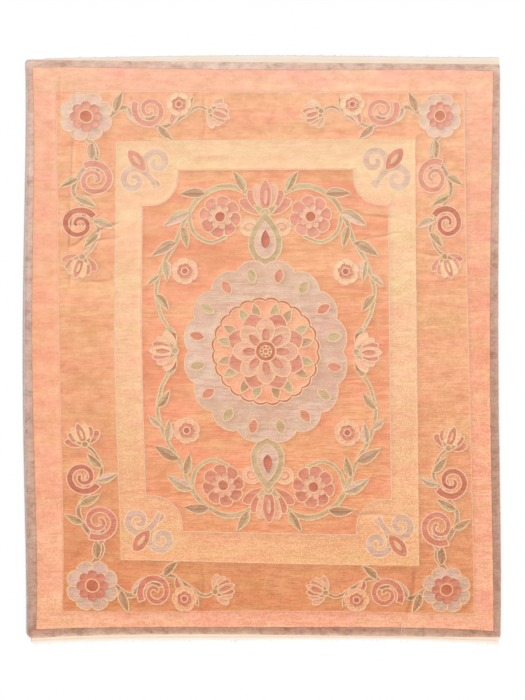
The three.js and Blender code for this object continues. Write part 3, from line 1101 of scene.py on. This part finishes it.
def makePile():
    half = pile["grooveHalf"]
    even, faces, tops = cutSheet(pile["fillSpacing"], half, pile["rings"], creasePoints())
    carveShade = carvedAt(even, faces, tops, half)
    # Along the rim's inner line the shade lies on the rim alone.
    beyond = np.maximum(abs(even[:, 0]) - evenAcross[-2], abs(even[:, 1]) - evenAlong[-2])
    start, rising, end, falling = cuts["rimShade"]
    rimShade = np.minimum((beyond - start) / rising, (end - beyond) / falling).clip(0, 1)

    # The nap falls steeply at the sides and more gently at the ends, where it is thin, worn and paled by
    # painted light.
    fromSide = (evenAcross[-1] - abs(even[:, 0])).clip(0, None)
    fromEnd = (evenAlong[-1] - abs(even[:, 1])).clip(0, None)
    rise = np.sqrt(1 - (1 - (fromSide / pile["shoulder"]).clip(0, 1)) ** 2)
    endRise, worn = np.where(even[:, 1] > 0, napAt(fromEnd, "high"), napAt(fromEnd, "low"))
    rise = np.minimum(rise, endRise)
    places = toRug(even)
    # At the sides the pile leans over the round cord.
    side = (fromSide < pile["sideStep"]) * (fromEnd / pile["leanFade"]).clip(0, 1)
    places[:, 0] += pile["lean"] * side * np.sign(even[:, 0])
    raised, paintedFoldShade = creased(places)
    swell = pile["swell"] * np.sin(places[:, 0] * 5.1 + 0.7) * np.sin(places[:, 1] * 4.3)
    full = pile["height"] + raised - pile["grooveDepth"] * carveShade + swell
    foot = pile["foot"] + (pile["sideFoot"] - pile["foot"]) * side
    z = foot + (full - foot) * rise
    used, renumbered = usedBy(faces, len(even))
    # The material gets the painted shade of grooves, folds and the rim's inner line, and the ends' paling.
    values = {"carveShade": np.max([carveShade, paintedFoldShade, rimShade], axis=0)[used], "worn": worn[used]}
    return makeMesh("rugPile", np.column_stack([places, z])[used], renumbered[faces].tolist(), yarnMaterials,
                    shapeYarns[tops], values)


rugPile = makePile()
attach(rugPile, "root")
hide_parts("woven_rug")
print("pile clipped and carved:", len(rugPile.data.polygons), "faces")


# The cloth under the pile, and the flat-woven ends

foundation = {
    "thickness": 0.0032,
    "fillSpacing": 0.060,
    "ribPitch": 0.0042,
    "ribHeight": 0.00045,
    "underPile": 0.0080,             # how far an end runs in under the pile
    "levels": (255, 237, 217),       # beside the pile
    "litEdgeLevels": (255, 249, 243),   # along the outer edge, where it is thin; paler, partly painted light over the shade there
    "edgeReach": (0.32, 0.95),
    "dull": (0.97, 0.87, 0.77),
    "weftPitch": 0.0017,
    "warpPitch": 0.0021,
    "weaveHeight": 0.00012,
    # From the outer edge to the pile: the share of the width, and the height there.
    "profile": ((0.0, 0.0004), (0.05, 0.0008), (0.15, 0.0013), (0.30, 0.0019), (0.42, 0.0023),
                (0.48, 0.0021), (0.56, 0.0022), (0.80, 0.0025), (1.0, 0.0028)),
    # How far inside the rug's left and right side each end stops, and how round its corners are there.
    "insets": {"endLow": (0.024, 0.009), "endHigh": (0.093, 0.003)},
    "cornerRadii": {"endLow": (0.018, 0.005), "endHigh": (0.014, 0.008)},
}


def makeFlatWeave():
    group, given = newGroup("flatWeave", {
        "Place": "Vector", "Color": "Color", "Edge Color": "Color", "Outward": 0.0})
    place = given["Place"]
    times, timesPlus, sine = (partial(calculate, group, kind)
                              for kind in ("MULTIPLY", "MULTIPLY_ADD", "SINE"))
    x, y, _ = addNode(group, "ShaderNodeSeparateXYZ", {"Vector": place}).outputs
    # Paler towards the outer edge, partly painted light over the shade that falls there.
    outward = ramp(group, given["Outward"], *foundation["edgeReach"])
    clean = mixed(group, outward, given["Color"], given["Edge Color"])
    uneven = noiseOf(group, place, (9, 140, 9))
    grime = noiseOf(group, place, (7, 24, 7), None, 3, 0.6)
    tone = timesPlus(uneven, 1.1, timesPlus(grime, 1.3, 0.42))
    # Wefts pass over and under every other warp.
    weft = sine(times(y, 2 * math.pi / foundation["weftPitch"]))
    warp = sine(times(x, math.pi / foundation["warpPitch"]))
    high = foundation["weaveHeight"]
    woven = timesPlus(times(weft, warp), high, times(weft, high))
    addNode(group, "NodeGroupOutput", {
        "Color": mixed(group, tone, clean, tinted(group, clean, foundation["dull"])),
        "Roughness": timesPlus(grime, 0.2, 0.88), "Height": timesPlus(uneven, 0.0004, woven)})
    return group


flatWeave = makeFlatWeave()


def makeCotton(name, levels, litEdgeLevels):
    values = {"Color": baseColourOf(levels), "Edge Color": baseColourOf(litEdgeLevels)}
    return makeCloth(name, flatWeave, values, ("outward",), 0.8, 0.1)


endWeave = makeCotton("endWeave", foundation["levels"], foundation["litEdgeLevels"])


# A closed shell under the pile, with the pattern on its back.
def makeBack():
    even, faces, tops = cutSheet(foundation["fillSpacing"])
    forward = {(a, b) for a, b in sidesOf(faces).tolist()}
    following = {a: b for a, b in forward if (b, a) not in forward}
    loop = [next(iter(following))]
    while following[loop[-1]] != loop[0]:
        loop.append(following[loop[-1]])
    rim = [(index, (index + 1) % len(loop)) for index in range(len(loop))]
    corners, _, lid, *_ = delaunay_2d_cdt(even[loop].tolist(), rim, [], 1, 1e-6, False)
    assert len(corners) == len(loop)

    used, renumbered = usedBy(faces, len(even))
    places = toRug(even)
    low = np.column_stack([places[used], np.zeros(len(used))])
    high = np.column_stack([places[loop], np.full(len(loop), foundation["thickness"])])
    lowLoop = renumbered[loop].tolist()
    start = len(low)
    walls = [(lowLoop[a], lowLoop[b], start + b, start + a) for a, b in rim]
    top = [tuple(start + corner for corner in face) for face in lid]
    allFaces = renumbered[faces][:, ::-1].tolist() + walls + top
    slots = shapeYarns[tops].tolist() + [len(yarnMaterials)] * (len(walls) + len(top))
    return np.concatenate([low, high]), allFaces, slots


# Where a flat-woven end starts and stops across the rug.
def endSpan(end):
    left, right = (acrossCurves[side](alongCurves[end](0)) for side in ("edgeLeft", "edgeRight"))
    insets = foundation["insets"][end]
    return left + insets[0], right - insets[1]


# One flat-woven end: ribbed over its warps, with a turned and stitched hem.
def makeEnd(end, pileLine, outward):
    profile = foundation["profile"]
    left, right = endSpan(end)
    corners = [(side, outward, x, alongCurves[end](x), radius)
               for side, x, radius in zip((-1, 1), (left, right), foundation["cornerRadii"][end])]
    count = int((right - left) / foundation["ribPitch"] * 3)
    x = np.linspace(left, right, count)
    outer, inner = alongCurves[end](x), alongCurves[pileLine](x) - outward * foundation["underPile"]
    frayed = 0.0006 * np.sin(x * 91) + 0.0005 * np.sin(x * 233 + 1) + 0.0003 * np.sin(x * 571)
    ribs = 0.5 + 0.5 * np.cos(2 * math.pi * x / foundation["ribPitch"])
    rows = []
    for share, height in profile:
        y = outer + (inner - outer) * share + outward * frayed * (1 - share)
        z = height + foundation["ribHeight"] * ribs * min(1, share * 8)
        rows.append(np.column_stack([roundCorners(np.stack([x, y], axis=1), corners), z]))
    rows += [rows[-1] * (1, 1, 0), rows[0] * (1, 1, 0)]
    points = np.concatenate(rows)
    points[:, :2] += np.array(rugLines["centring"])
    starts = np.arange(len(rows)) * count
    line = np.arange(count - 1)
    faces = []
    for here, there in zip(starts, np.roll(starts, -1)):
        quads = np.stack([here + line, here + line + 1, there + line + 1, there + line], axis=1)
        faces += (quads if outward < 0 else quads[:, ::-1]).tolist()
    caps = (starts[::-outward], (starts + count - 1)[::outward])
    outwards = np.repeat([1 - share for share, _ in profile] + [0, 1], count)
    return points, faces + [cap.tolist() for cap in caps], outwards


def makeFoundation():
    points, faces, slots = makeBack()
    outwards = np.zeros(len(points))
    for end in rugEnds:
        endPoints, endFaces, endOutwards = makeEnd(*end)
        faces += [[len(points) + corner for corner in face] for face in endFaces]
        slots += [len(yarnMaterials)] * len(endFaces)
        points = np.concatenate([points, endPoints])
        outwards = np.concatenate([outwards, endOutwards])
    return makeMesh("rugFoundation", points, faces, [*yarnMaterials, endWeave], slots, {"outward": outwards})


rugFoundation = makeFoundation()
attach(rugFoundation, "root")
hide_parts("woven_rug")
print("cloth woven:", len(rugFoundation.data.polygons), "faces")


# The side cords, overcast with yarn

selvedge = {
    "diameter": 0.0090,
    "wrapPitch": 0.0038,
    "wrapDepth": 0.00055,
    "sides": 10,
    "turn": 68,                  # degrees that a cord bends in round each corner
    "taper": 0.020,
    "steps": 20000,
    "litDye": {"high": (226, 203, 194), "low": (208, 179, 169)},
}
cordYarn = makeYarn("cord", 61.0, **selvedge["litDye"], streaks=0.9, mottling=1.2, drift=0.8, skeins=0.3)


# A cord lies along the pile's side and bends in round its corners, where it thins out.
def cordPath(line, side):
    half = rugLines["cordWidth"] / 2
    (low, lowRadius), (high, highRadius) = [spot[3:] for spot in pileCorners if spot[0] == side]
    reach = math.sin(math.radians(selvedge["turn"]))
    y = np.linspace(low + lowRadius * (1 - reach), high - highRadius * (1 - reach), selvedge["steps"])
    x = acrossCurves[line](y) - side * half
    for beyond, bend in ((low + lowRadius - y, lowRadius), (y - high + highRadius, highRadius)):
        x -= side * (bend + half) * (1 - np.sqrt(1 - (beyond / bend).clip(0, reach) ** 2))
    steps = np.hypot(np.diff(x), np.diff(y))
    run = np.concatenate([[0], np.cumsum(steps)])
    even = np.arange(0, run[-1], selvedge["wrapPitch"] / 4)
    return even, np.stack([np.interp(even, run, x), np.interp(even, run, y)], axis=1)


# The faces of a closed tube: between its rings of points, then its two caps.
def tubeFaces(rings, sides, flipped=False):
    ring = np.arange(sides)
    following = (ring + 1) % sides
    starts = (np.arange(rings - 1) * sides)[:, None]
    quads = np.stack([starts + ring, starts + following, starts + sides + following, starts + sides + ring],
                     axis=2).reshape(-1, 4)
    caps = [ring[::-1], (rings - 1) * sides + ring]
    if flipped:
        quads = quads[:, [0, 3, 2, 1]]
        caps = [cap[::-1] for cap in caps]
    return quads.tolist() + [cap.tolist() for cap in caps]


def makeSelvedge(name, line, side):
    radius = selvedge["diameter"] / 2
    run, path = cordPath(line, side)
    heading = np.gradient(path, axis=0)
    heading /= np.linalg.norm(heading, axis=1)[:, None]
    across = np.stack([heading[:, 1], -heading[:, 0]], axis=1)
    angles = np.arange(selvedge["sides"]) * 2 * math.pi / selvedge["sides"]
    phase = 2 * math.pi * run[:, None] / selvedge["wrapPitch"] + side * angles
    uneven = (1 + 0.25 * np.sin(31 * run + side))[:, None]
    groove = selvedge["wrapDepth"] * (0.5 - 0.5 * np.cos(phase)) * uneven
    fromEnd = np.minimum(run, run[-1] - run)
    taper = np.minimum(1, 0.3 + 0.7 * np.sqrt((fromEnd / selvedge["taper"]).clip(0, 1)))[:, None]
    reach = (radius - groove) * taper
    aside = path[:, None] + (reach * np.cos(angles))[..., None] * across[:, None]
    height = (radius * taper + reach * np.sin(angles))[..., None]
    points = np.concatenate([aside, height], axis=2).reshape(-1, 3)
    points[:, :2] += np.array(rugLines["centring"])
    return makeMesh(name, points, tubeFaces(len(run), len(angles), flipped=True), [cordYarn])


for name, line, side, node in (("selvedgeLeft", "edgeLeft", -1, "selvedge_left"),
                               ("selvedgeRight", "edgeRight", 1, "selvedge_right")):
    cord = makeSelvedge(name, line, side)
    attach(cord, "root")
    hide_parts(node)
print("side cords wrapped")


# Stitches along the turned hems, loose warp ends and two yarn tails

hem = {
    "stitchPitch": 0.0085,
    "stitchLength": 0.0080,
    "stitchRadius": 0.00065,
    "stitchHeight": 0.0026,
    "stitchArch": 0.0011,
    "stitchSunk": 0.0007,            # how far its two ends dip in
    "stitchInset": 0.010,            # from the corners of the end
    "stitchScatter": 0.0008,
    "stitchSpread": (0.85, 1.1),     # shares of its length
    "stitchLean": (0.45, 0.12),      # and by how much that varies
    "place": 0.47,                   # share of the end's width, from its edge
    "looseEnds": 46,
    "looseRadius": 0.00050,
    "looseInset": 0.012,
    "looseLength": (0.004, 0.013),
    "looseSway": 0.6,
    # Yarn tails over the low rim: the place across the rug, how far from the end each starts and stops, and
    # its sway.
    "tails": ((1.138, 0.024, 0.048, 0.04), (0.723, 0.017, 0.066, -0.03)),
    "tailRadius": 0.0015,
    "levels": (240, 214, 190),
}
hemThread = makeCotton("hemThread", hem["levels"], hem["levels"])


def tube(path, radius, sides=5):
    direction = np.gradient(path, axis=0)
    direction /= np.linalg.norm(direction, axis=1)[:, None]
    across = np.cross(direction, (0, 0, 1))
    across /= np.maximum(np.linalg.norm(across, axis=1), 1e-9)[:, None]
    upward = np.cross(across, direction)
    angles = np.arange(sides) * 2 * math.pi / sides
    rings = (path[:, None] + radius * (np.cos(angles)[:, None] * across[:, None]
                                       + np.sin(angles)[:, None] * upward[:, None]))
    return rings.reshape(-1, 3), tubeFaces(len(path), sides)


def joinParts(parts):
    points, faces, start = [], [], 0
    for partPoints, partFaces in parts:
        points.append(partPoints)
        faces += [[start + corner for corner in face] for face in partFaces]
        start += len(partPoints)
    return np.concatenate(points), faces


def makeHemThreads():
    chance = np.random.default_rng(20)
    stitches, looseEnds = [], []
    centring = np.array([*rugLines["centring"], 0])
    stitchInset, scatter = hem["stitchInset"], hem["stitchScatter"]
    looseInset, mostSway = hem["looseInset"], hem["looseSway"]
    usualLean, leanVaries = hem["stitchLean"]
    for end, pileLine, outward in rugEnds:
        left, right = endSpan(end)
        for x in np.arange(left + stitchInset, right - stitchInset, hem["stitchPitch"]):
            x += chance.uniform(-scatter, scatter)
            outer = alongCurves[end](x)
            width = abs(outer - alongCurves[pileLine](x)) + foundation["underPile"]
            middle = np.array([x, outer - outward * width * hem["place"], hem["stitchHeight"]])
            half = min(hem["stitchLength"], width * 0.5) / 2 * chance.uniform(*hem["stitchSpread"])
            lean = np.array([usualLean + chance.uniform(-leanVaries, leanVaries), -outward * 0.9, 0])
            shares = np.linspace(-1, 1, 6)[:, None]
            arch = hem["stitchArch"] * (1 - shares ** 2) - hem["stitchSunk"]
            path = middle + lean * half * shares + arch * (0, 0, 1) + centring
            stitches.append(tube(path, hem["stitchRadius"]))
        for x in np.sort(chance.uniform(left + looseInset, right - looseInset, hem["looseEnds"])):
            length = chance.uniform(*hem["looseLength"])
            sway = chance.uniform(-mostSway, mostSway)
            shares = np.linspace(0, 1, 7)
            base = alongCurves[end](x)
            path = np.stack([x + sway * length * shares ** 2, base + outward * (length * shares - 0.003),
                             0.0014 - 0.0008 * shares], axis=1)
            looseEnds.append(tube(path + centring, hem["looseRadius"], 4))
    for x, start, stop, sway in hem["tails"]:
        fromEnd = np.linspace(start, stop, 12)
        rise, _ = napAt(fromEnd, "low")
        z = pile["foot"] + (pile["height"] - pile["foot"]) * rise + hem["tailRadius"]
        xs = x + sway * (fromEnd - start) + 0.0008 * np.sin(fromEnd * 160 + x)
        path = np.stack([xs, alongCurves["pileLow"](x) + fromEnd, z], axis=1)
        looseEnds.append(tube(path + centring, hem["tailRadius"]))
    return (makeMesh("hemStitches", *joinParts(stitches), [hemThread]),
            makeMesh("looseWarps", *joinParts(looseEnds), [hemThread]))


hemPieces = makeHemThreads()
for piece in hemPieces:
    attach(piece, "root")
print("hems stitched")
